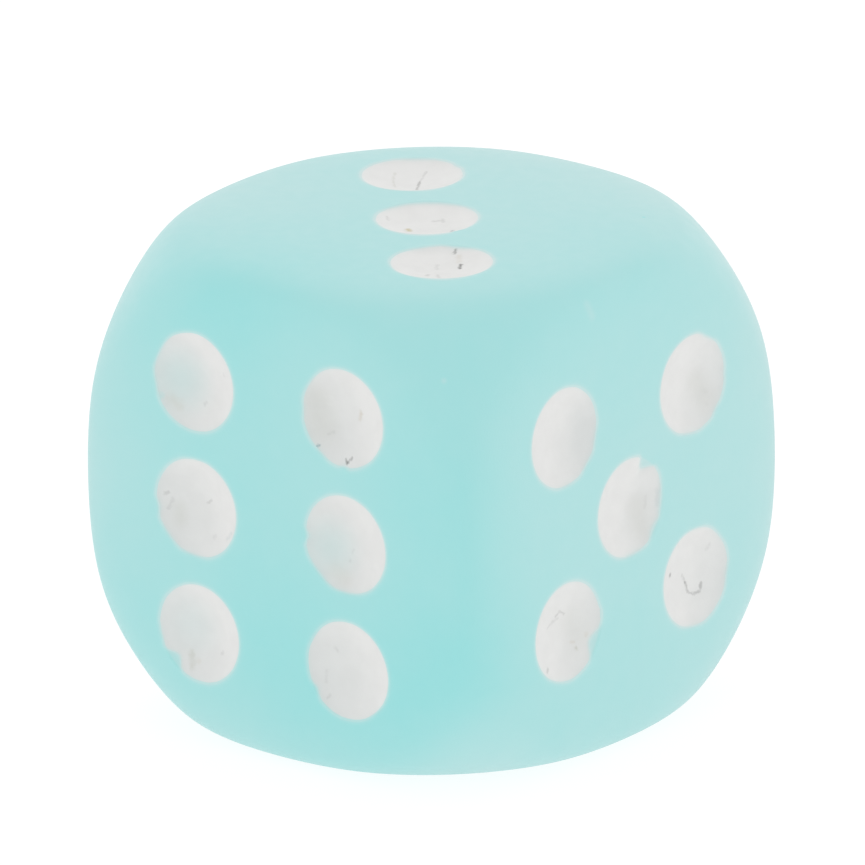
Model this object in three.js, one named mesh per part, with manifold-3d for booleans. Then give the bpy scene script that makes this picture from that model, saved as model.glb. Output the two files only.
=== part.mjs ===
// A frosted six-sided die: a cube with its corners cut off by a ball, a dished pip for each count,
// and a thin cup of white paint in each pip.
//
// Lengths are in millimetres, +Z is up, and the origin is the centre of the cube. Three is on top and
// four below, six looks along -Y, one along +Y, five along +X and two along -X, so that opposite faces
// add up to seven.

import * as THREE from "three";
import { mergeVertices } from "three/addons/utils/BufferGeometryUtils.js";
import Module from "manifold-3d";

// ---- Driving dimensions -----------------------------------------------------------------------

const DIE_SIZE = 16; // across opposite faces
const BALL_DIAMETER = 1.4 * DIE_SIZE; // the ball that cuts the corners off
const EDGE_SHARPNESS = 28; // exponent of the blend between faces and ball: higher is sharper
const FACE_GRIND = 0.01; // the faces are ground this far below the blended form, which makes them flat

const PIP_RADIUS = 0.1025 * DIE_SIZE; // at the mouth
const PIP_DEPTH = 0.5; // in the middle
const PAINT_GAP = 0.02; // between the paint and the wall of its pip
const PAINT_THICKNESS = 0.14; // in the middle
const PAINT_RIM = 0.04; // width of the flat ring at the rim
const PAINT_RECESS = 0.01; // the rim's top, below the face

const SQUARE_REACH = 0.2 * DIE_SIZE; // centre of the face to a corner pip of four and five, along each side
const DIAGONAL_REACH = 0.194 * DIE_SIZE; // the same for the end pips of two and three
const SIX_ROW_REACH = 0.26 * DIE_SIZE; // six: centre to the end rows
const SIX_COLUMN_REACH = 0.188 * DIE_SIZE; // six: centre to each column

const BODY_CELLS = 16; // grid cells along each side of a face
const GRID_CROWDING = 2.2; // how strongly the grid lines crowd towards the edges: 1 is an even grid
const PIP_SEGMENTS = 28; // around a pip
const DISH_RINGS = 3; // from the rim of a pip to its middle

// ---- Layout -----------------------------------------------------------------------------------

const X = new THREE.Vector3(1, 0, 0);
const Y = new THREE.Vector3(0, 1, 0);
const Z = new THREE.Vector3(0, 0, 1);

// Each pip is [name, x, y], where x runs right and y runs up as one looks at the face from outside.
const CENTRE = [["centre", 0, 0]];
const DIAGONAL = endPair("high_left", "low_right", DIAGONAL_REACH, DIAGONAL_REACH);
const SQUARE = [
  ...endPair("high_left", "low_right", SQUARE_REACH, SQUARE_REACH),
  ...endPair("high_right", "low_left", -SQUARE_REACH, SQUARE_REACH),
];
const SIX = [
  ...endPair("high_left", "low_right", SIX_COLUMN_REACH, SIX_ROW_REACH),
  ...endPair("high_right", "low_left", -SIX_COLUMN_REACH, SIX_ROW_REACH),
  ...endPair("mid_left", "mid_right", SIX_COLUMN_REACH, 0),
];

const FACES = [
  { name: "one", right: X.clone().negate(), up: Z, pips: CENTRE },
  { name: "two", right: Y.clone().negate(), up: Z, pips: DIAGONAL },
  { name: "three", right: X, up: Y, pips: [...CENTRE, ...DIAGONAL] },
  { name: "four", right: X, up: Y.clone().negate(), pips: SQUARE },
  { name: "five", right: Y, up: Z, pips: [...CENTRE, ...SQUARE] },
  { name: "six", right: X, up: Z, pips: SIX },
];

// Two pips on opposite sides of the face's centre; the first is to the left when reachX is positive.
function endPair(firstName, secondName, reachX, reachY) {
  return [
    [firstName, -reachX, reachY],
    [secondName, reachX, -reachY],
  ];
}

// ---- Materials --------------------------------------------------------------------------------

const FROSTED_RESIN = new THREE.MeshStandardMaterial({
  name: "frosted_resin",
  color: new THREE.Color().setRGB(0.62, 0.875, 0.868, THREE.SRGBColorSpace),
  roughness: 0.6,
  metalness: 0,
});
const PIP_PAINT = new THREE.MeshStandardMaterial({
  name: "pip_paint",
  color: new THREE.Color().setRGB(0.885, 0.895, 0.89, THREE.SRGBColorSpace),
  roughness: 0.5,
  metalness: 0,
});

// ---- Solids -----------------------------------------------------------------------------------

const wasm = await Module();
wasm.setup();

function toSolid(geometry) {
  const bare = geometry.clone();
  bare.deleteAttribute("normal");
  bare.deleteAttribute("uv");
  const merged = mergeVertices(bare);
  const mesh = new wasm.Mesh({
    numProp: 3,
    vertProperties: merged.getAttribute("position").array,
    triVerts: new Uint32Array(merged.getIndex().array),
  });
  return new wasm.Manifold(mesh);
}

function toGeometry(solid) {
  const mesh = solid.getMesh();
  const geometry = new THREE.BufferGeometry();
  geometry.setAttribute("position", new THREE.BufferAttribute(mesh.vertProperties, 3));
  geometry.setIndex(new THREE.BufferAttribute(mesh.triVerts, 1));
  geometry.computeVertexNormals();
  return geometry;
}

// How much to stretch a vector by so that it ends on the blend of cube and ball.
function reachOfForm(vector) {
  const half = DIE_SIZE / 2 + FACE_GRIND;
  const term = (length, limit) => Math.pow(length / limit, EDGE_SHARPNESS);
  const sum =
    term(Math.abs(vector.x), half) +
    term(Math.abs(vector.y), half) +
    term(Math.abs(vector.z), half) +
    term(vector.length(), BALL_DIAMETER / 2);
  return Math.pow(sum, -1 / EDGE_SHARPNESS);
}

// Moves a grid coordinate between -1 and 1 towards the nearer end.
function crowded(coordinate) {
  return Math.sign(coordinate) * (1 - Math.pow(1 - Math.abs(coordinate), GRID_CROWDING));
}

// The die without its pips: a gridded box whose points are moved out to the form. The grid is finer
// towards the edges of the cube, where the form curves.
function dieBlank() {
  const box = new THREE.BoxGeometry(2, 2, 2, BODY_CELLS, BODY_CELLS, BODY_CELLS);
  const position = box.getAttribute("position");
  const flat = new THREE.Vector3().setScalar(DIE_SIZE / 2);
  const point = new THREE.Vector3();
  for (let i = 0; i < position.count; i++) {
    point.fromBufferAttribute(position, i);
    point.set(crowded(point.x), crowded(point.y), crowded(point.z));
    point.multiplyScalar(reachOfForm(point));
    point.clamp(flat.clone().negate(), flat);
    position.setXYZ(i, point.x, point.y, point.z);
  }
  return box;
}

// Radius of the ball whose cap has this mouth radius and depth.
function capRadius(mouth, depth) {
  return (mouth * mouth + depth * depth) / (2 * depth);
}

// Points on a hollow cap from its lowest point on the axis out to the given radius, as [radius, height].
function capProfile(ballRadius, bottom, outerRadius) {
  const last = Math.asin(outerRadius / ballRadius);
  return Array.from({ length: DISH_RINGS + 1 }, (_, i) => {
    const angle = (last * i) / DISH_RINGS;
    return new THREE.Vector2(
      i === 0 ? 0 : ballRadius * Math.sin(angle),
      bottom + ballRadius * (1 - Math.cos(angle)),
    );
  });
}

// Turns a profile round the Z axis.
function turned(profile) {
  return new THREE.LatheGeometry(profile, PIP_SEGMENTS).rotateX(Math.PI / 2);
}

// The ball-nosed cutter that sinks a pip. Its axis is Z and the face it cuts is at height 0.
function pipCutter() {
  const above = PIP_DEPTH;
  const ball = capRadius(PIP_RADIUS, PIP_DEPTH);
  const mouthAbove = Math.sqrt(ball * ball - Math.pow(ball - PIP_DEPTH - above, 2));
  const arc = capProfile(ball, -PIP_DEPTH, PIP_RADIUS);
  return turned([...arc, new THREE.Vector2(mouthAbove, above), new THREE.Vector2(0, above)]);
}

// The cup of paint: it follows the pip's wall below and is a shallower dish on top.
function paintCup() {
  const wall = capRadius(PIP_RADIUS, PIP_DEPTH) - PAINT_GAP;
  const rim = -PAINT_RECESS;
  const bottom = PAINT_GAP - PIP_DEPTH;
  const top = bottom + PAINT_THICKNESS;
  const outer = Math.sqrt(wall * wall - Math.pow(wall - (rim - bottom), 2));
  const inner = outer - PAINT_RIM;
  const under = capProfile(wall, bottom, outer);
  const over = capProfile(capRadius(inner, rim - top), top, inner);
  return turned([...under, ...over.reverse()]);
}

// ---- Assembly ---------------------------------------------------------------------------------

// Places a group on a face: its X and Y run along the face, and its Z points out of it.
function placeOnFace(group, face) {
  const out = new THREE.Vector3().crossVectors(face.right, face.up);
  group.quaternion.setFromRotationMatrix(new THREE.Matrix4().makeBasis(face.right, face.up, out));
  group.position.copy(out.multiplyScalar(DIE_SIZE / 2));
  return group;
}

function buildDie() {
  const die = new THREE.Group();
  const cutter = pipCutter();
  const cup = paintCup();
  let body = toSolid(dieBlank());
  for (const face of FACES) {
    const group = placeOnFace(new THREE.Group(), face);
    for (const [place, x, y] of face.pips) {
      const paint = new THREE.Mesh(cup, PIP_PAINT);
      paint.name = `pip_${face.name}_${place}`;
      paint.position.set(x, y, 0);
      group.add(paint);
      paint.updateWorldMatrix(true, false);
      body = body.subtract(toSolid(cutter.clone().applyMatrix4(paint.matrixWorld)));
    }
    die.add(group);
  }
  const bodyMesh = new THREE.Mesh(toGeometry(body), FROSTED_RESIN);
  bodyMesh.name = "die_body";
  die.add(bodyMesh);
  return die;
}

export default buildDie();
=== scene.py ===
# A frosted six-sided die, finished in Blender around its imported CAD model.
#
# A fine body of the same form replaces the CAD body, and in each pip a thin fill of paint with an
# uneven rim replaces the CAD cup. Shapes are worked out in millimetres and stored in metres. Places
# on a face are x to the right and y up, as one looks at the face from outside.

import math
from collections import namedtuple

import bpy
from mathutils import Matrix, Vector, noise
from mathutils.geometry import delaunay_2d_cdt


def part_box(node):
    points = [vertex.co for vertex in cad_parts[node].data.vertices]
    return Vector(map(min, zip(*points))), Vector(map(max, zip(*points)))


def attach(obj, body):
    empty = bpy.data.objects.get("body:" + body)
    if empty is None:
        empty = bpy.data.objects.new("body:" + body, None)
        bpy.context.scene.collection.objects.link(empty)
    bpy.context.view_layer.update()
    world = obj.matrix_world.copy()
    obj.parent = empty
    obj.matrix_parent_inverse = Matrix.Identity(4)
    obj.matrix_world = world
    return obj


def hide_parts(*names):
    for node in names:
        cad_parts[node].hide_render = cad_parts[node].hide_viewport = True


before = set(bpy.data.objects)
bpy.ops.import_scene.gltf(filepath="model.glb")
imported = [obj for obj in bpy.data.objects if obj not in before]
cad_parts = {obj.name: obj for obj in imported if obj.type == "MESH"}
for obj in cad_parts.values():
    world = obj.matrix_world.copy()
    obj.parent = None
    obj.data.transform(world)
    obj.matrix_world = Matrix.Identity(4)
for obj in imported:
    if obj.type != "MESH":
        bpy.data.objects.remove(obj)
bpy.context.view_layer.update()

# ---- Dimensions, from the frame ---------------------------------------------------------------

MM = 0.001  # in metres
X, Y, Z = Vector((1, 0, 0)), Vector((0, 1, 0)), Vector((0, 0, 1))
FACES = {  # name: (right, up)
    "one": (-X, Z),
    "two": (-Y, Z),
    "three": (X, Y),
    "four": (X, -Y),
    "five": (Y, Z),
    "six": (X, Z),
}

Pip = namedtuple("Pip", "node face x y")


def outward(face):
    right, up = FACES[face]
    return right.cross(up)


def read_pip(node):
    face = node.split("_")[1]
    right, up = FACES[face]
    low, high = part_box(node)
    centre = (low + high) / 2 / MM
    return Pip(node, face, centre.dot(right), centre.dot(up))


PIPS = [read_pip(node) for node in sorted(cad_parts) if node.startswith("pip_")]

body_low, body_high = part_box("die_body")
SIZE = (body_high.x - body_low.x) / MM
HALF = SIZE / 2

paint_low, paint_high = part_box("pip_five_centre")
PAINT_RADIUS = (paint_high.y - paint_low.y) / 2 / MM
PAINT_SUNK = HALF - paint_high.x / MM  # the rim of the paint, below the face
PAINT_FLOOR = HALF - paint_low.x / MM  # the underside of the paint in the middle

# The form: a cube blended into the ball that cuts its corners off, with ground faces.
BALL_RADIUS = 0.7 * SIZE
EDGE_SHARPNESS = 28  # power of the blend: more gives sharper edges
FACE_GRIND = SIZE / 1600  # how much of the blend is ground off each face

# The pip: part of a ball that meets the paint's underside but for a small gap.
PAINT_GAP = 0.02
PIP_DEPTH = PAINT_FLOOR + PAINT_GAP
WALL_RISE = PAINT_FLOOR - PAINT_SUNK
DISH_RADIUS = (PAINT_RADIUS**2 + WALL_RISE**2) / (2 * WALL_RISE) + PAINT_GAP
MOUTH_RADIUS = math.sqrt(DISH_RADIUS**2 - (DISH_RADIUS - PIP_DEPTH) ** 2)
RIM_SOFTNESS = 0.035  # depth over which tumbling has rounded the rim
FLAT_FROM = 1.2  # radius, as a share of the mouth, from which the face round a pip is flat
MARK_UNIT = 0.1 * SIZE  # places of marks on a pip are in this unit

# ---- Form -------------------------------------------------------------------------------------


def reach_of_form(vector):
    """How much to scale a vector by so that it ends on the blend of cube and ball."""
    half = HALF + FACE_GRIND
    total = (vector.length / BALL_RADIUS) ** EDGE_SHARPNESS
    total += sum((abs(coordinate) / half) ** EDGE_SHARPNESS for coordinate in vector)
    return total ** (-1 / EDGE_SHARPNESS)


def on_die(face, x, y, depth=0.0):
    """The point at x, y on a face, sunk straight in by depth, in metres."""
    right, up = FACES[face]
    out = outward(face)
    flat = right * x + up * y + out * HALF
    return (flat * min(1.0, reach_of_form(flat)) - out * depth) * MM


def dish_depth(radius):
    """Depth of the ball that cuts a pip, negative outside the mouth."""
    return math.sqrt(DISH_RADIUS**2 - radius**2) - (DISH_RADIUS - PIP_DEPTH)


def pip_depth(radius):
    """Depth of the body's surface in and around a pip: a smooth maximum of the ball's depth and the
    face's, which is 0, so that the rim is rounded over."""
    depth = dish_depth(min(radius, FLAT_FROM * MOUTH_RADIUS))
    share = min(1.0, max(0.0, 0.5 + 0.5 * depth / RIM_SOFTNESS))
    return depth * share + RIM_SOFTNESS * share * (1 - share)


# ---- Body -------------------------------------------------------------------------------------

GRID_CELLS = 34  # from the middle of a face to its edge
GRID_EVENNESS = 0.35  # 1 spaces the grid lines evenly, and less crowds them towards the edges
DISH_RINGS = ((0.15, 12), (0.35, 24), (0.55, 36), (0.72, 48), (0.84, 64))  # (share of mouth, points)
RIM_RINGS = 12
RIM_POINTS = 128
RIM_BAND = (0.92, 1.06)  # where the rim rings lie, as shares of the mouth
CLEAR_OF_GRID = 1.1  # no grid point lies nearer to a pip than this share of its mouth
SAME_POINT = 1e-6  # points of a face that are nearer than this are one
SAME_DIGITS = 4  # points of two faces that agree to this many digits are one
FAR_FROM_PAINT = 1.0  # distances beyond this are not told apart


def grid_lines():
    """Coordinates from one edge of a face to the other, closer together near the edges."""
    lines = []
    for i in range(-GRID_CELLS, GRID_CELLS + 1):
        share = i / GRID_CELLS
        crowded = math.sin(share * math.pi / 2)
        lines.append(HALF * (GRID_EVENNESS * share + (1 - GRID_EVENNESS) * crowded))
    return lines


def circle(pip, radius, count):
    turn = 2 * math.pi / count
    return [
        Vector((pip.x + radius * math.cos(i * turn), pip.y + radius * math.sin(i * turn)))
        for i in range(count)
    ]


def pip_rings(pip):
    """Rings of points over a pip, close together at its rim."""
    rings = [circle(pip, share * MOUTH_RADIUS, count) for share, count in DISH_RINGS]
    inner, outer = RIM_BAND
    for i in range(RIM_RINGS + 1):
        share = inner + (outer - inner) * i / RIM_RINGS
        rings.append(circle(pip, share * MOUTH_RADIUS, RIM_POINTS))
    return rings


def face_layout(face):
    """Triangles over a face, as (points, triangles)."""
    pips = [pip for pip in PIPS if pip.face == face]
    lines = grid_lines()
    points = []
    edges = []
    for x in lines:
        for y in lines:
            if all(math.hypot(x - p.x, y - p.y) > CLEAR_OF_GRID * MOUTH_RADIUS for p in pips):
                points.append(Vector((x, y)))
    for pip in pips:
        points.append(Vector((pip.x, pip.y)))
        for ring in pip_rings(pip):
            first = len(points)
            points += ring
            edges += [(first + i, first + (i + 1) % len(ring)) for i in range(len(ring))]
    placed, _, triangles, _, _, _ = delaunay_2d_cdt(points, edges, [], 0, SAME_POINT)
    return placed, triangles


def body_mesh():
    """Points, faces and, for each point, its distance from the nearest paint and its depth in a pip."""
    mesh_points = []
    mesh_faces = []
    from_paint = []
    depths = []
    index_of = {}  # neighbouring faces share the points along the edges of the cube
    for face in FACES:
        pips = [pip for pip in PIPS if pip.face == face]
        points, triangles = face_layout(face)
        indices = []
        for point in points:
            pip = min(pips, key=lambda p: math.hypot(point.x - p.x, point.y - p.y))
            radius = math.hypot(point.x - pip.x, point.y - pip.y)
            angle = math.atan2(point.y - pip.y, point.x - pip.x)
            depth = pip_depth(radius)
            place = on_die(face, point.x, point.y, depth)
            key = tuple(round(coordinate / MM, SAME_DIGITS) for coordinate in place)
            if key not in index_of:
                index_of[key] = len(mesh_points)
                mesh_points.append(place)
                from_paint.append(min(FAR_FROM_PAINT, radius - paint_outline(pip, angle)))
                depths.append(depth)
            indices.append(index_of[key])
        mesh_faces += [[indices[i] for i in triangle] for triangle in triangles]
    return mesh_points, mesh_faces, from_paint, depths


def add_numbers(piece, name, values):
    """Stores one number for each point of a piece, for its material to read."""
    attribute = piece.data.attributes.new(name, "FLOAT", "POINT")
    attribute.data.foreach_set("value", values)


def add_places(piece, name, places):
    """Stores one place for each point of a piece, for its material to read."""
    attribute = piece.data.attributes.new(name, "FLOAT_VECTOR", "POINT")
    attribute.data.foreach_set("vector", [coordinate for place in places for coordinate in place])


def roundness(mesh):
    """For each point, 0 where the surface looks straight out of a face and 1 where it looks along an edge."""
    steepest = 1 - math.sqrt(0.5)
    return [
        min(1.0, (1 - max(abs(coordinate) for coordinate in vertex.normal)) / steepest)
        for vertex in mesh.vertices
    ]


def new_piece(name, points, faces, material):
    mesh = bpy.data.meshes.new(name)
    mesh.from_pydata(points, [], faces)
    mesh.shade_smooth()
    mesh.materials.append(material)
    piece = bpy.data.objects.new(name, mesh)
    bpy.context.scene.collection.objects.link(piece)
    return piece


# ---- Paint ------------------------------------------------------------------------------------

PAINT_POINTS = 128  # around the rim
TOP_RINGS = 26
UNDER_RINGS = 8
SHARP_EDGE = math.radians(60)  # edges sharper than this, such as the rim, aren't smoothed over
RIM_OVERLAP = 0.02  # how far the paint reaches over the rounded rim of its pip
PAINT_REACH = MOUTH_RADIUS + RIM_OVERLAP
DISH_LEFT = 0.345  # depth of the middle of the paint's top, below the rim of the CAD cup
FILM_MIDDLE = PIP_DEPTH - PAINT_SUNK - DISH_LEFT  # thickness in the middle
PROUD_FILM = 0.006  # thickness where paint has run over the rim on to the face
RIM_STEEPNESS = 8  # how late the film thins out towards its rim
BOND = 0.002  # how far the paint's underside lies in the resin, so that no gap shows
FILL_WAVE = 0.1  # unevenness of the thickness, as a share
FILL_WAVE_SCALE = 1.5  # how quickly that changes across the pip
NOISE_SPACING = 10  # between faces, so that no two pips share a place in the noise
RIM_WAVE = 0.01  # unevenness of the outline, as a share of its radius
RIM_WAVE_SCALE = 2  # how quickly that changes round the rim
FINE_WAVE_SCALE = 4  # how many times finer its second wave is
FINE_WAVE_SHARE = 0.5  # how strong the second wave is, next to the first

# Where the rim of the paint is flattened or bitten, or has run over where the share is below zero, as
# (clock hour, half width in hours, share of radius).
RIM_FLAWS = {
    "pip_six_high_left": ((10.0, 1.0, 0.05), (8.6, 0.7, 0.05), (0.5, 0.9, -0.02)),
    "pip_six_high_right": ((10.3, 0.8, 0.02), (7.2, 0.6, 0.04), (9.0, 0.5, 0.03), (6.0, 0.3, 0.05)),
    "pip_six_mid_left": ((7.5, 0.8, 0.04), (6.2, 0.8, 0.04), (8.7, 0.5, 0.06), (0.0, 0.7, 0.02)),
    "pip_six_mid_right": ((9.0, 0.4, 0.08), (7.4, 0.9, 0.05), (5.9, 1.2, 0.05)),
    "pip_six_low_left": ((7.5, 0.65, 0.17), (8.6, 0.6, 0.03)),
    "pip_six_low_right": ((7.9, 0.5, 0.07), (10.2, 0.8, 0.02), (4.6, 0.7, 0.02)),
    "pip_five_high_left": ((3.5, 0.7, 0.05), (4.6, 0.6, 0.04), (5.9, 0.8, 0.02)),
    "pip_five_high_right": ((1.0, 0.7, 0.06), (4.5, 0.4, 0.03), (6.3, 0.7, 0.03), (3.1, 0.4, 0.02)),
    "pip_five_centre": ((1.15, 0.6, 0.2), (3.3, 1.3, 0.06), (4.4, 0.6, 0.08), (6.0, 1.0, 0.05)),
    "pip_five_low_left": ((3.95, 0.85, 0.17), (2.8, 0.4, -0.03), (6.6, 0.8, 0.02)),
    "pip_five_low_right": ((1.6, 0.7, 0.02), (3.4, 0.6, 0.04), (6.3, 0.8, 0.04), (0.0, 0.8, 0.02)),
    "pip_three_high_left": ((0.7, 0.35, 0.03), (10.8, 0.9, 0.04), (4.1, 1.0, -0.05), (1.6, 0.7, 0.02)),
    "pip_three_centre": ((10.9, 2.6, 0.06), (9.2, 0.9, 0.02), (3.55, 0.35, 0.12), (4.8, 2.0, -0.07)),
    "pip_three_low_right": ((11.4, 0.9, 0.06), (9.9, 0.9, 0.03), (7.2, 0.7, 0.02), (4.6, 1.6, -0.07)),
    "pip_one_centre": ((5.2, 0.8, 0.06), (10.4, 0.4, 0.04)),
    "pip_two_high_left": ((8.1, 0.7, 0.09),),
    "pip_two_low_right": ((2.6, 0.9, 0.04), (6.9, 0.4, 0.05)),
    "pip_four_high_left": ((4.1, 0.8, 0.06),),
    "pip_four_high_right": ((9.6, 0.6, 0.1), (1.1, 0.8, 0.03)),
    "pip_four_low_left": ((0.6, 0.9, 0.05),),
    "pip_four_low_right": ((6.4, 0.5, 0.07), (10.8, 0.9, 0.03)),
}


def noise_seed(pip):
    """A place in the noise that no other pip uses."""
    return Vector((pip.x, pip.y, NOISE_SPACING * list(FACES).index(pip.face)))


def rim_flaw(pip, angle):
    """How much of the radius is missing in a direction."""
    missing = 0.0
    hour = (3 - math.degrees(angle) / 30) % 12
    for middle, half_width, share in RIM_FLAWS[pip.node]:
        off = abs((hour - middle + 6) % 12 - 6) / half_width
        missing += share * max(0.0, 1 - off**2) ** 2
    return missing


def paint_outline(pip, angle):
    """Radius of the paint in a direction."""
    around = Vector((math.cos(angle), math.sin(angle), 0)) * RIM_WAVE_SCALE
    seed = noise_seed(pip)
    coarse = noise.noise(around + seed)
    fine = noise.noise(FINE_WAVE_SCALE * around + seed)
    wave = RIM_WAVE * (coarse + FINE_WAVE_SHARE * fine)
    return PAINT_REACH * (1 + wave - rim_flaw(pip, angle))


def paint_mesh(pip):
    """A thin closed fill whose underside follows the pip and whose top is a shallower dish, as points,
    faces and, for each point, its place on the pip in units of MARK_UNIT and its distance from the rim."""
    points = []
    faces = []
    places = []
    from_rim = []
    seed = noise_seed(pip)
    angles = [2 * math.pi * i / PAINT_POINTS for i in range(PAINT_POINTS)]
    outline = [paint_outline(pip, angle) for angle in angles]

    def add_point(share, i, top):
        radius = share * outline[i]
        x, y = radius * math.cos(angles[i]), radius * math.sin(angles[i])
        depth = pip_depth(radius) + BOND
        if top:
            wave = 1 + FILL_WAVE * noise.noise(Vector((x, y, 0)) * FILL_WAVE_SCALE + seed)
            film = FILM_MIDDLE * wave * (1 - (radius / PAINT_REACH) ** 2)
            film = (max(film, PROUD_FILM) + BOND) * (1 - share**RIM_STEEPNESS)
            depth -= min(film, depth + PROUD_FILM)
        points.append(on_die(pip.face, pip.x + x, pip.y + y, depth))
        places.append((x / MARK_UNIT, y / MARK_UNIT, 0))
        from_rim.append(outline[i] - radius)

    def add_ring(share, top):
        for i in range(PAINT_POINTS):
            add_point(share, i, top)
        return len(points) - PAINT_POINTS

    def join(inner, outer, flip):
        for i in range(PAINT_POINTS):
            k = (i + 1) % PAINT_POINTS
            quad = [inner + i, outer + i, outer + k, inner + k]
            faces.append(quad[::-1] if flip else quad)

    def close(ring, centre, flip):
        for i in range(PAINT_POINTS):
            triangle = [centre, ring + i, ring + (i + 1) % PAINT_POINTS]
            faces.append(triangle[::-1] if flip else triangle)

    rim = add_ring(1.0, False)
    for top, count in ((True, TOP_RINGS), (False, UNDER_RINGS)):
        outer = rim
        for i in range(1, count):
            inner = add_ring(1 - i / count, top)
            join(inner, outer, not top)
            outer = inner
        add_point(0.0, 0, top)
        close(outer, len(points) - 1, not top)
    return points, faces, places, from_rim


# ---- Materials --------------------------------------------------------------------------------

NOISE_RANGE = (0.3, 0.7)  # most of a noise node's values lie here


def new_material(name):
    material = bpy.data.materials.new(name)
    material.use_nodes = True
    return Nodes(material.node_tree), material


class Nodes:
    """Short calls for the node kinds used here. A value is a number, a colour or another node's output."""

    def __init__(self, tree):
        self.tree = tree
        self.shader = tree.nodes.get("Principled BSDF")

    def feed(self, socket, value):
        if isinstance(value, bpy.types.NodeSocket):
            self.tree.links.new(value, socket)
        else:
            socket.default_value = value

    def add(self, kind, inputs=None, **settings):
        node = self.tree.nodes.new("ShaderNode" + kind)
        for name, value in settings.items():
            setattr(node, name, value)
        for name, value in (inputs or {}).items():
            self.feed(node.inputs[name], value)
        return node

    def math(self, operation, first, second=0.0, clamp=False):
        values = {0: first, 1: second}
        return self.add("Math", values, operation=operation, use_clamp=clamp).outputs[0]

    def vector(self, operation, *values, output="Vector"):
        """Values are vectors, or a vector and a scale for SCALE."""
        sockets = (0, "Scale") if operation == "SCALE" else (0, 1, 2)
        return self.add("VectorMath", dict(zip(sockets, values)), operation=operation).outputs[output]

    def sum(self, *terms, clamp=False):
        total = terms[0]
        for term in terms[1:]:
            total = self.math("ADD", total, term)
        return self.math("ADD", total, 0.0, clamp) if clamp else total

    def attribute(self, name):
        return self.add("Attribute", attribute_name=name).outputs["Fac"]

    def place(self, unit=1.0):
        """Position on the die, in the given number of millimetres."""
        position = self.add("TexCoord").outputs["Object"]
        return self.vector("SCALE", position, 1 / (unit * MM))

    def noise(self, scale, detail=2.0, roughness=0.5, place=None):
        """Noise between 0 and 1, whose features are about 1 / scale millimetres across."""
        inputs = {"Vector": place or self.place(), "Scale": scale, "Detail": detail, "Roughness": roughness}
        return self.add("TexNoise", inputs).outputs[0]

    def clouds(self, scale, detail, low, high):
        """Noise whose usual range is spread over low..high."""
        return self.ramp(self.noise(scale, detail), *NOISE_RANGE, low, high)

    def facing(self):
        """0 where the surface faces the viewer and 1 where it is seen edge-on."""
        return self.add("LayerWeight", {"Blend": 0.5}).outputs["Facing"]

    def ramp(self, value, low, high, to_low=0.0, to_high=1.0, smooth=True):
        """Maps low..high to to_low..to_high, held at the ends."""
        inputs = {"Value": value, "From Min": low, "From Max": high, "To Min": to_low, "To Max": to_high}
        kind = "SMOOTHSTEP" if smooth else "LINEAR"
        return self.add("MapRange", inputs, interpolation_type=kind).outputs[0]

    def mix(self, share, first, second):
        """A colour, from first at share 0 to second at share 1."""
        node = self.add("Mix", data_type="RGBA")
        self.feed(node.inputs[0], share)
        self.feed(node.inputs[6], first)
        self.feed(node.inputs[7], second)
        return node.outputs[2]

    def bump(self, height, depth):
        """A normal bumped by height, where a height of 1 stands depth millimetres proud."""
        return self.add("Bump", {"Height": height, "Distance": depth * MM, "Strength": 1.0}).outputs[0]

    def surface(self, **inputs):
        """Sets the shader's inputs, with _ for a space in a name."""
        for name, value in inputs.items():
            self.feed(self.shader.inputs[name.replace("_", " ")], value)


DEEP_AQUA = (0.295, 0.721, 0.718, 1)  # the resin at paleness 0
PALE_AQUA = (0.612, 0.76, 0.756, 1)  # the resin at paleness 1
EVEN_SHARE = 0.275  # paleness of the resin where one looks straight at it
GRAZING_SHEEN_SHARE = 0.38  # painted sheen: how much paler the resin is made where one looks along it
BACKLIGHT_SHARE = 0.1  # painted light from behind: how much paler the resin is made towards +y, per half of the die
PIP_WALL_LIGHT_SHARE = 0.25  # painted light: how much paler the wall of a pip is made where paint is missing, against the shade in it
PIP_WALL_LIGHT_DEPTH = 0.06  # depth, in mm, by which it is that pale
PAINTED_GLOW_SHARE = 0.42  # painted glow: how much paler the resin is made beside paint, for the paint's light that it spreads
THIN_RIM_SHARE = 0.45  # how much the resin shows through the thin rim of the paint
BLEED = 0.055  # distance from the rim, in mm, over which the painted glow and the thin rim die away

# Cloudiness of the resin, as (noise scale, detail, paleness added or taken off).
RESIN_CLOUDS = (
    (0.16, 2.0, 0.04),
    (1.3, 3.0, 0.012),
)

# Patches of painted shade and light, darker or paler, mostly on the sides towards the camera, as (place in
# halves of the die, reach in mm, paleness added).
TINT_AND_SHADE_PATCHES = (
    ((-0.28, -1.0, 0.88), 4.8, -0.11),
    ((0.76, -1.0, -0.54), 4.8, -0.15),
    ((0.88, -1.0, 0.02), 4.0, -0.07),
    ((0.05, -1.0, -0.55), 4.5, -0.16),
    ((0.64, 0.05, 1.0), 4.8, -0.1),
    ((0.14, -0.78, 1.0), 4.0, -0.05),
    ((0.86, -0.79, -0.78), 3.2, 0.12),
    ((0.39, -1.0, -0.85), 4.5, -0.09),
    ((1.0, -0.5, -0.8), 3.5, -0.06),
    ((0.72, -1.0, 0.35), 3.5, -0.08),
    ((-0.9, -1.0, 0.1), 4.8, 0.13),
    ((0.9, -1.0, 0.75), 4.0, 0.05),
    ((1.0, 0.1, -0.6), 4.0, -0.04),
    ((-1.0, 0.45, -0.6), 5.0, -0.12),
    ((-1.0, -0.3, 0.7), 4.0, 0.06),
    ((0.3, 1.0, 0.6), 5.0, -0.11),
    ((-0.7, 1.0, -0.2), 4.5, 0.06),
    ((0.2, 0.4, -1.0), 5.0, -0.11),
)


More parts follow.
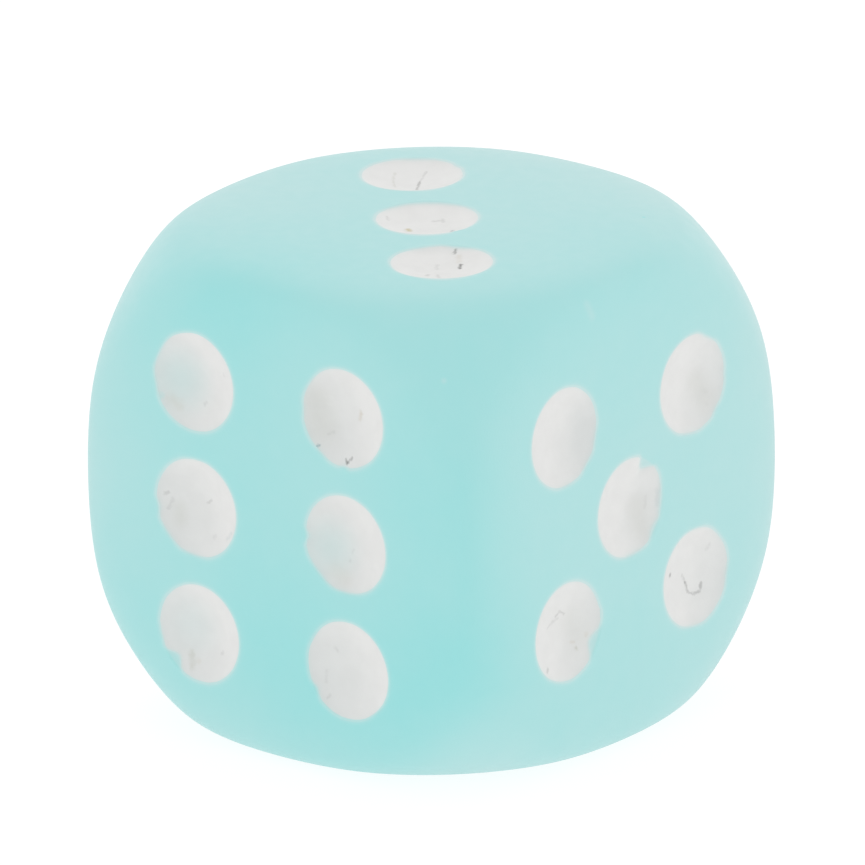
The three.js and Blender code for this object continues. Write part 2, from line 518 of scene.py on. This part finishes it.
def grazing(nodes):
    """0 where one looks straight at the die and 1 where one looks along it. Resin scatters light beneath
    its surface, so half of this comes from a rounder form than the surface itself."""
    place = nodes.place(HALF)
    square = nodes.vector("MULTIPLY", place, place)
    fifth_power = nodes.vector("MULTIPLY", nodes.vector("MULTIPLY", square, square), place)
    round_normal = nodes.vector("NORMALIZE", fifth_power)
    incoming = nodes.add("NewGeometry").outputs["Incoming"]
    towards = nodes.vector("DOT_PRODUCT", round_normal, incoming, output="Value")
    along_round = nodes.math("SUBTRACT", 1.0, towards)
    return nodes.math("MULTIPLY", nodes.sum(nodes.facing(), along_round), 0.5)


# Patches of painted shade and light on the resin.
def tint_and_shade_patches(nodes):
    total = 0.0
    for (x, y, z), reach, paleness in TINT_AND_SHADE_PATCHES:
        centre = (x * HALF, y * HALF, z * HALF)
        distance = nodes.vector("DISTANCE", nodes.place(), centre, output="Value")
        total = nodes.sum(total, nodes.ramp(distance, 0.0, reach, paleness, 0.0))
    return total


def resin_tint_and_painted_light(nodes):
    """0 where the resin looks deepest and 1 where it looks palest: its clouds of tint, with a painted sheen,
    painted light from behind and patches of painted shade and light.
    """
    _, backward, _ = nodes.add("SeparateXYZ", {0: nodes.place(HALF)}).outputs
    clouds = [nodes.clouds(scale, detail, -swing, swing) for scale, detail, swing in RESIN_CLOUDS]
    return nodes.sum(
        EVEN_SHARE,
        # painted sheen, paler where one looks along the die
        nodes.math("MULTIPLY", grazing(nodes), GRAZING_SHEEN_SHARE),
        # painted light from behind, paler towards +y
        nodes.math("MULTIPLY", backward, BACKLIGHT_SHARE),
        # patches of painted shade and light
        tint_and_shade_patches(nodes),
        *clouds,
    )


# Pale spots and dark specks on the body, as (paleness, reach in mm, points in mm).
BODY_MARKS = (
    (0.15, 0.25, ((7.86, -1.82, 7.17), (7.95, -1.68, 6.76))),
    (0.25, 0.15, ((6.38, -7.1, 5.83),)),
    (-0.5, 0.09, ((5.43, 4.08, 7.96),)),
    (0.2, 0.16, ((-7.6, -3.1, 6.9), (-7.9, -2.5, 6.6))),
    (0.22, 0.14, ((-6.9, 6.8, -1.2), (-6.8, 6.9, -1.8))),
    (-0.4, 0.09, ((-7.99, 2.2, 3.1),)),
    (0.25, 0.15, ((2.4, 7.9, -6.4), (3.1, 7.8, -6.7))),
    (-0.4, 0.08, ((-2.7, 7.99, 5.2),)),
)


def distance_to_segment(nodes, place, start, end):
    start, end = Vector(start).to_3d(), Vector(end).to_3d()
    along = end - start
    if along.length == 0:
        return nodes.vector("DISTANCE", place, start, output="Value")
    offset = nodes.vector("SUBTRACT", place, start)
    share = nodes.vector("DOT_PRODUCT", offset, along / along.length_squared, output="Value")
    nearest = nodes.vector("SCALE", along, nodes.math("ADD", share, 0.0, clamp=True))
    return nodes.vector("DISTANCE", offset, nearest, output="Value")


def stroke(nodes, place, points, reach, strength):
    """A soft stroke through the points, or a soft dot: strength in the middle and 0 beyond its reach."""
    ends = points[1:] or points
    distances = [distance_to_segment(nodes, place, start, end) for start, end in zip(points, ends)]
    nearest = distances[0]
    for distance in distances[1:]:
        nearest = nodes.math("MINIMUM", nearest, distance)
    return nodes.ramp(nearest, 0.0, reach, strength, 0.0)


def rim_bleed(nodes, distance, strength):
    """Dies away with a distance from the rim of the paint."""
    decay = nodes.math("MULTIPLY", nodes.math("MAXIMUM", distance, 0.0), -1 / BLEED)
    return nodes.math("MULTIPLY", nodes.math("EXPONENT", decay), strength)


FROST = (2.0, 3.0, 0.5, 0.62)  # noise scale and detail, lowest and highest roughness
GRAIN = (16.0, 2.0, 0.6)  # noise scale, detail and roughness
GRAIN_HEIGHT = 0.003  # in mm
FROST_SHINE = 0.35  # specular level, where bare resin would have 0.5
EDGE_POLISH = 0.06  # how much less rough the edges are


def frosted_resin():
    """Translucent resin under a tumbled frost: clouded, finely grained, and a little smoother where
    tumbling has worn its edges. Its colour also carries painted light: a painted sheen, painted light
    from behind, a painted glow beside the paint, painted light on the pip walls and patches of painted shade."""
    nodes, material = new_material("frosted_resin")
    marks = [stroke(nodes, nodes.place(), points, reach, paleness) for paleness, reach, points in BODY_MARKS]
    # painted glow in the resin beside the paint
    painted_glow = rim_bleed(nodes, nodes.attribute("from_paint"), PAINTED_GLOW_SHARE)
    # painted light, lifting the shade on the walls of the pips
    pip_wall_painted_light = nodes.ramp(nodes.attribute("pip_depth"), 0.0, PIP_WALL_LIGHT_DEPTH, 0.0, PIP_WALL_LIGHT_SHARE)
    # the paleness carries painted light and shade as well as the resin's tint
    paleness = nodes.sum(resin_tint_and_painted_light(nodes), painted_glow, pip_wall_painted_light, *marks, clamp=True)
    wear = nodes.math("MULTIPLY", nodes.attribute("roundness"), -EDGE_POLISH)
    nodes.surface(
        Base_Color=nodes.mix(paleness, DEEP_AQUA, PALE_AQUA),
        Roughness=nodes.sum(nodes.clouds(*FROST), wear),
        Normal=nodes.bump(nodes.noise(*GRAIN), GRAIN_HEIGHT),
        Specular_IOR_Level=FROST_SHINE,
    )
    return material


FACING_PAINT_SHADED = (0.665, 0.69, 0.683, 1)  # painted shade: darker and tinted aqua where one looks straight at it, partly the resin showing through
# painted sheen: whiter where one looks along it
GRAZING_PAINT_SHEEN = (0.782, 0.782, 0.771, 1)
FULL_GRAZE = 0.45  # obliqueness from which the painted sheen is full and the painted shade gone
MOTTLE = (1.6, 3.0, 0.0, 0.03)  # noise scale and detail, least and most soot all over
SATIN = (3.0, 2.0, 0.4, 0.52)  # noise scale and detail, lowest and highest roughness
RIPPLE = (5.0, 3.0)  # noise scale and detail
RIPPLE_HEIGHT = 0.006  # in mm, and the depth of full dirt and of full marks of painted shade

SOOT = (0.05, 0.05, 0.045, 1)
OLIVE = (0.22, 0.22, 0.08, 1)
TAN = (0.45, 0.33, 0.15, 1)
OCHRE = (0.45, 0.34, 0.02, 1)
SLATE = (0.1, 0.25, 0.3, 1)
AQUA = (0.4, 0.73, 0.725, 1)
MARK_WOBBLE = 0.1  # how far the edges of marks wander, in units of MARK_UNIT
WOBBLE = (12.0, 2.0)  # noise scale and detail
GRIT = (5.0, 2.0)  # noise scale and detail
GRIT_RANGE = (0.35, 0.6, 0.7, 1.1)  # noise from low to high, and what it multiplies small marks by
BROAD_MARK_OR_SHADE = 0.25  # marks that reach this far are broad tints, on the pips of five and six painted shade of the dish, and have no grit

# Dirt, scratches and thin spots of the paint, and on the pips of five and six broad faint tints of painted
# shade in the dish, as (colour, strength, reach, points), in units of MARK_UNIT from the middle of the pip.
PAINT_MARKS_AND_SHADE = {
    "pip_six_high_left": (
        # aqua tint left of the middle: painted shade of the dish, and thin paint
        (AQUA, 0.3, 1.0, ((-0.45, -0.05),)),
        (AQUA, 0.35, 0.12, ((-0.86, -0.46),)),
        (TAN, 0.1, 0.2, ((-0.65, -0.5), (-0.45, -0.6))),
        (SOOT, 0.12, 0.06, ((0.14, -0.47), (0.18, -0.44))),
        (SOOT, 0.08, 0.07, ((0.69, 0.25),)),
    ),
    "pip_six_high_right": (
        (TAN, 0.24, 0.08, ((0.31, 0.13), (0.28, 0.0))),
        (SOOT, 0.45, 0.065, ((0.05, -0.92),)),
        (SOOT, 0.34, 0.045, ((0.0, -0.85), (0.05, -0.92), (0.15, -0.81))),
        (SLATE, 0.5, 0.06, ((-0.68, -0.72), (-0.64, -0.69))),
        # faint tint on the left: painted shade of the dish
        (OLIVE, 0.08, 0.6, ((-0.75, 0.2), (-0.6, -0.3))),
        (SOOT, 0.08, 0.06, ((-0.48, -0.45), (-0.35, -0.38))),
    ),
    "pip_six_mid_left": (
        (SOOT, 0.15, 0.055, ((-0.85, 0.1), (-0.78, 0.15))),
        (SOOT, 0.13, 0.06, ((-0.68, 0.03), (-0.78, -0.18))),
        # faint tint on the left: painted shade of the dish
        (OLIVE, 0.08, 0.28, ((-0.54, -0.15), (-0.52, -0.38))),
        (SOOT, 0.15, 0.05, ((0.12, 0.07), (0.23, 0.14))),
        (SOOT, 0.09, 0.06, ((0.33, -0.58), (0.37, -0.55))),
        (SLATE, 0.13, 0.07, ((0.83, -0.37), (0.72, -0.52))),
    ),
    "pip_six_mid_right": (
        # aqua tint left of the middle: painted shade of the dish, and thin paint
        (AQUA, 0.27, 0.95, ((-0.5, -0.2),)),
        (SOOT, 0.06, 0.06, ((0.0, -0.2), (0.03, -0.15))),
        (SOOT, 0.14, 0.06, ((-0.04, -0.38),)),
        # faint tint low down: painted shade of the dish
        (TAN, 0.07, 0.3, ((-0.35, -0.65), (-0.1, -0.75))),
    ),
    "pip_six_low_left": (
        # aqua tint left of the middle: painted shade of the dish, and thin paint
        (AQUA, 0.12, 0.9, ((-0.3, 0.1),)),
        (OLIVE, 0.15, 0.12, ((-0.32, -0.5), (-0.27, -0.78))),
        (TAN, 0.1, 0.12, ((-0.15, -0.65),)),
        (SOOT, 0.16, 0.06, ((0.44, -0.37), (0.48, -0.34))),
    ),
    "pip_six_low_right": (
        (SOOT, 0.1, 0.06, ((-0.57, -0.68), (-0.54, -0.63))),
        (SOOT, 0.07, 0.06, ((-0.65, -0.15), (-0.64, -0.38))),
        (SOOT, 0.1, 0.07, ((-0.43, 0.35), (-0.38, 0.3))),
    ),
    # faint tint on the right: painted shade of the dish
    "pip_five_high_left": ((SLATE, 0.05, 0.6, ((0.75, 0.1), (0.7, -0.3))),),
    "pip_five_high_right": (
        # faint tint on the right: painted shade of the dish
        (OLIVE, 0.07, 0.45, ((0.35, -0.1), (0.5, -0.45))),
        (SOOT, 0.04, 0.08, ((0.56, -0.34),)),
        (SOOT, 0.04, 0.08, ((0.53, -0.57),)),
    ),
    "pip_five_centre": (
        (SLATE, 0.1, 0.09, ((0.92, 0.1), (0.89, -0.2))),
        (SOOT, 0.06, 0.07, ((0.65, 0.03), (0.61, -0.2))),
        # faint tint on the right: painted shade of the dish
        (OLIVE, 0.07, 0.45, ((0.4, -0.15), (0.45, -0.55))),
    ),
    "pip_five_low_left": (
        (SOOT, 0.17, 0.055, ((0.12, 0.31), (-0.05, 0.39), (-0.15, 0.33))),
        (SOOT, 0.12, 0.055, ((-0.08, 0.27), (-0.25, 0.24), (-0.42, 0.18))),
        (SOOT, 0.2, 0.07, ((-0.6, -0.67), (-0.56, -0.64))),
        (TAN, 0.15, 0.07, ((0.3, -0.33), (0.37, -0.35))),
        (OLIVE, 0.24, 0.08, ((0.4, -0.49),)),
        (TAN, 0.12, 0.09, ((0.7, -0.28),)),
        # faint tint on the right: painted shade of the dish
        (OLIVE, 0.05, 0.5, ((0.3, 0.1), (0.5, -0.3))),
    ),
    "pip_five_low_right": (
        (SOOT, 0.42, 0.075, ((-0.67, 0.22), (-0.65, 0.2))),
        (SOOT, 0.16, 0.055, ((-0.17, 0.05), (-0.09, -0.12))),
        (SOOT, 0.29, 0.055, ((-0.09, -0.12), (-0.03, -0.33), (0.12, -0.42), (0.32, -0.41), (0.37, -0.25))),
        (SOOT, 0.1, 0.08, ((0.57, 0.5), (0.52, 0.42))),
    ),
    "pip_three_high_left": (
        (OLIVE, 0.12, 0.05, ((-0.6, 0.18), (-0.47, -0.03), (-0.1, -0.43))),
        (SOOT, 0.14, 0.045, ((-0.15, 0.6), (0.03, 0.18))),
        (SOOT, 0.31, 0.045, ((0.03, 0.18), (0.09, 0.07), (0.36, -0.31))),
    ),
    "pip_three_centre": (
        (OCHRE, 0.42, 0.11, ((-0.19, -0.35), (-0.1, -0.45))),
        (SOOT, 0.14, 0.06, ((-0.02, 0.5), (0.08, 0.41))),
        (SOOT, 0.15, 0.07, ((-0.02, 0.42), (-0.12, 0.35))),
        (SOOT, 0.14, 0.07, ((-0.8, -0.24), (-0.72, -0.34))),
        (SLATE, 0.36, 0.08, ((0.63, 0.0), (0.72, -0.12))),
    ),
    "pip_three_low_right": (
        (SOOT, 0.45, 0.055, ((-0.35, 0.85), (-0.29, 0.75))),
        (SOOT, 0.65, 0.06, ((0.1, 0.46), (0.19, 0.33))),
        (TAN, 0.12, 0.12, ((-0.15, 0.7), (-0.02, 0.56))),
        (SOOT, 0.11, 0.07, ((-0.3, 0.23), (-0.19, 0.08))),
        (SOOT, 0.18, 0.07, ((-0.1, -0.3), (-0.03, -0.43))),
        (SOOT, 0.15, 0.07, ((0.05, -0.2), (0.25, -0.4))),
    ),
    "pip_one_centre": (
        (AQUA, 0.15, 0.8, ((0.2, 0.3),)),
        (SOOT, 0.2, 0.05, ((-0.5, 0.2), (-0.3, -0.1))),
        (SOOT, 0.4, 0.06, ((0.45, -0.4),)),
        (OLIVE, 0.12, 0.15, ((-0.2, -0.6),)),
    ),
    "pip_two_high_left": (
        (SOOT, 0.3, 0.06, ((0.3, 0.5),)),
        (SOOT, 0.15, 0.06, ((-0.4, -0.2), (-0.1, -0.4))),
    ),
    "pip_two_low_right": (
        (AQUA, 0.2, 0.8, ((-0.2, 0.0),)),
        (TAN, 0.2, 0.09, ((0.5, 0.1), (0.4, -0.05))),
        (SOOT, 0.15, 0.05, ((-0.1, 0.6), (0.15, 0.45))),
    ),
    "pip_four_high_left": (
        (SOOT, 0.2, 0.05, ((-0.5, -0.3), (-0.2, -0.5))),
        (OLIVE, 0.12, 0.12, ((0.3, 0.1),)),
    ),
    "pip_four_high_right": (
        (SOOT, 0.4, 0.06, ((0.1, -0.7),)),
        (SOOT, 0.12, 0.06, ((-0.3, 0.3), (-0.1, 0.5))),
    ),
    "pip_four_low_left": (
        (AQUA, 0.2, 0.8, ((0.1, -0.2),)),
        (SOOT, 0.15, 0.07, ((0.5, 0.3),)),
    ),
    "pip_four_low_right": (
        (OLIVE, 0.15, 0.1, ((-0.3, -0.4), (-0.4, -0.1))),
        (SOOT, 0.25, 0.05, ((0.2, 0.4), (0.35, 0.2))),
    ),
}


def wandering_place(nodes):
    """Place on the pip in units of MARK_UNIT, shifted a little, so that the edges of marks wander."""
    place = nodes.add("Attribute", attribute_name="place").outputs["Vector"]
    scale, detail = WOBBLE
    wobble = nodes.add("TexNoise", {"Vector": place, "Scale": scale, "Detail": detail}).outputs["Color"]
    shift = nodes.vector("SUBTRACT", wobble, (0.5, 0.5, 0.5))
    return nodes.vector("MULTIPLY_ADD", shift, (MARK_WOBBLE, MARK_WOBBLE, 0), place)


def paint_with_painted_shade(nodes):
    """Matt white, darkened and tinted aqua where one looks straight at it as painted shade and the resin
    showing through the thin paint, and whiter edge-on as painted sheen.
    """
    # painted shade where faced, painted sheen edge-on
    painted_sheen = nodes.ramp(nodes.facing(), 0.0, FULL_GRAZE, smooth=False)
    colour = nodes.mix(painted_sheen, FACING_PAINT_SHADED, GRAZING_PAINT_SHEEN)
    return nodes.mix(nodes.clouds(*MOTTLE), colour, SOOT)


def add_marks_and_shade(nodes, pip, colour):
    """The colour with the marks of a pip drawn over it, painted shade among them, and how much dirt and shade
    they make.
    """
    place = wandering_place(nodes)
    grit = nodes.ramp(nodes.noise(*GRIT), *GRIT_RANGE)
    dirt_and_shade = 0.0
    for mark, strength, reach, points in PAINT_MARKS_AND_SHADE[pip.node]:
        amount = stroke(nodes, place, points, reach, strength)
        if reach < BROAD_MARK_OR_SHADE:
            amount = nodes.math("MULTIPLY", amount, grit)
        colour = nodes.mix(amount, colour, mark)
        dirt_and_shade = nodes.sum(dirt_and_shade, amount)
    return colour, dirt_and_shade


def pip_paint(pip):
    """The paint of one pip, with its own dirt and scratches, painted shade and sheen, and thin at its rim."""
    nodes, material = new_material(pip.node.replace("pip", "paint"))
    colour, dirt_and_shade = add_marks_and_shade(nodes, pip, paint_with_painted_shade(nodes))
    thin_rim = rim_bleed(nodes, nodes.attribute("from_rim"), THIN_RIM_SHARE)
    nodes.surface(
        Base_Color=nodes.mix(thin_rim, colour, AQUA),
        Roughness=nodes.sum(nodes.clouds(*SATIN), dirt_and_shade),
        Normal=nodes.bump(nodes.math("SUBTRACT", nodes.noise(*RIPPLE), dirt_and_shade), RIPPLE_HEIGHT),
    )
    return material


# ---- Pieces -----------------------------------------------------------------------------------


def add_body():
    points, faces, from_paint, depths = body_mesh()
    piece = new_piece("frosted_body", points, faces, frosted_resin())
    add_numbers(piece, "from_paint", from_paint)
    add_numbers(piece, "pip_depth", depths)
    add_numbers(piece, "roundness", roundness(piece.data))
    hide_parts("die_body")
    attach(piece, "root")


def add_paint():
    for pip in PIPS:
        points, faces, places, from_rim = paint_mesh(pip)
        piece = new_piece(pip.node.replace("pip", "paint"), points, faces, pip_paint(pip))
        piece.data.set_sharp_from_angle(angle=SHARP_EDGE)
        add_places(piece, "place", places)
        add_numbers(piece, "from_rim", from_rim)
        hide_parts(pip.node)
        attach(piece, "root")


# ---- Stage ------------------------------------------------------------------------------------

CAMERA_AZIMUTH = math.radians(39.4)
CAMERA_ELEVATION = math.radians(18.9)
CAMERA_ROLL = math.radians(1.15)
CAMERA_DISTANCE = 50 * SIZE * MM
FRAME_WIDTH = 1.6985 * SIZE * MM  # what the camera sees across, at the die
AIM = (0.0013 * SIZE * MM, 0.052 * SIZE * MM)  # from the die's centre, along the picture's right and up


def add_camera():
    """A long lens, so that the picture has almost no perspective."""
    back = Vector(
        (
            math.sin(CAMERA_AZIMUTH) * math.cos(CAMERA_ELEVATION),
            -math.cos(CAMERA_AZIMUTH) * math.cos(CAMERA_ELEVATION),
            math.sin(CAMERA_ELEVATION),
        )
    )
    level = Z.cross(back).normalized()
    upright = back.cross(level)
    right = level * math.cos(CAMERA_ROLL) - upright * math.sin(CAMERA_ROLL)
    up = level * math.sin(CAMERA_ROLL) + upright * math.cos(CAMERA_ROLL)
    camera = bpy.data.objects.new("camera", bpy.data.cameras.new("camera"))
    camera.data.lens = camera.data.sensor_width * CAMERA_DISTANCE / FRAME_WIDTH
    camera.matrix_world = Matrix((right, up, back)).transposed().to_4x4()
    camera.location = right * AIM[0] + up * AIM[1] + back * CAMERA_DISTANCE
    bpy.context.scene.collection.objects.link(camera)
    bpy.context.scene.camera = camera


FLOOR_REACH = 100 * SIZE * MM  # from the middle
FLOOR_GREY = (0.2, 0.2, 0.2, 1)
FLOOR_GLOW = 0.83  # light of the floor's own, so that it looks white and shows little shadow


def add_floor():
    sides = ((-1, -1), (1, -1), (1, 1), (-1, 1))
    corners = [(x * FLOOR_REACH, y * FLOOR_REACH, -HALF * MM) for x, y in sides]
    nodes, material = new_material("floor")
    nodes.surface(
        Base_Color=FLOOR_GREY, Roughness=1.0, Emission_Color=(1, 1, 1, 1), Emission_Strength=FLOOR_GLOW
    )
    floor = new_piece("floor", corners, [[0, 1, 2, 3]], material)


TENT_BRIGHTNESS = (0.93, 1.1)  # on the camera's side, and opposite


def add_light_tent():
    """An even white tent around the die, a little darker on the camera's side, where it is open."""
    world = bpy.data.worlds.new("light_tent")
    bpy.context.scene.world = world
    world.use_nodes = True
    nodes = Nodes(world.node_tree)
    direction = nodes.add("TexCoord").outputs["Generated"]
    towards = bpy.context.scene.camera.matrix_world.col[2].to_3d()
    along = nodes.vector("DOT_PRODUCT", direction, towards, output="Value")
    near, far = TENT_BRIGHTNESS
    background = world.node_tree.nodes["Background"]
    nodes.feed(background.inputs["Color"], (1, 1, 1, 1))
    nodes.feed(background.inputs["Strength"], nodes.ramp(along, -1.0, 1.0, far, near, smooth=False))


add_body()
add_paint()
add_camera()
add_floor()
add_light_tent()
bpy.context.scene.view_settings.view_transform = "Standard"
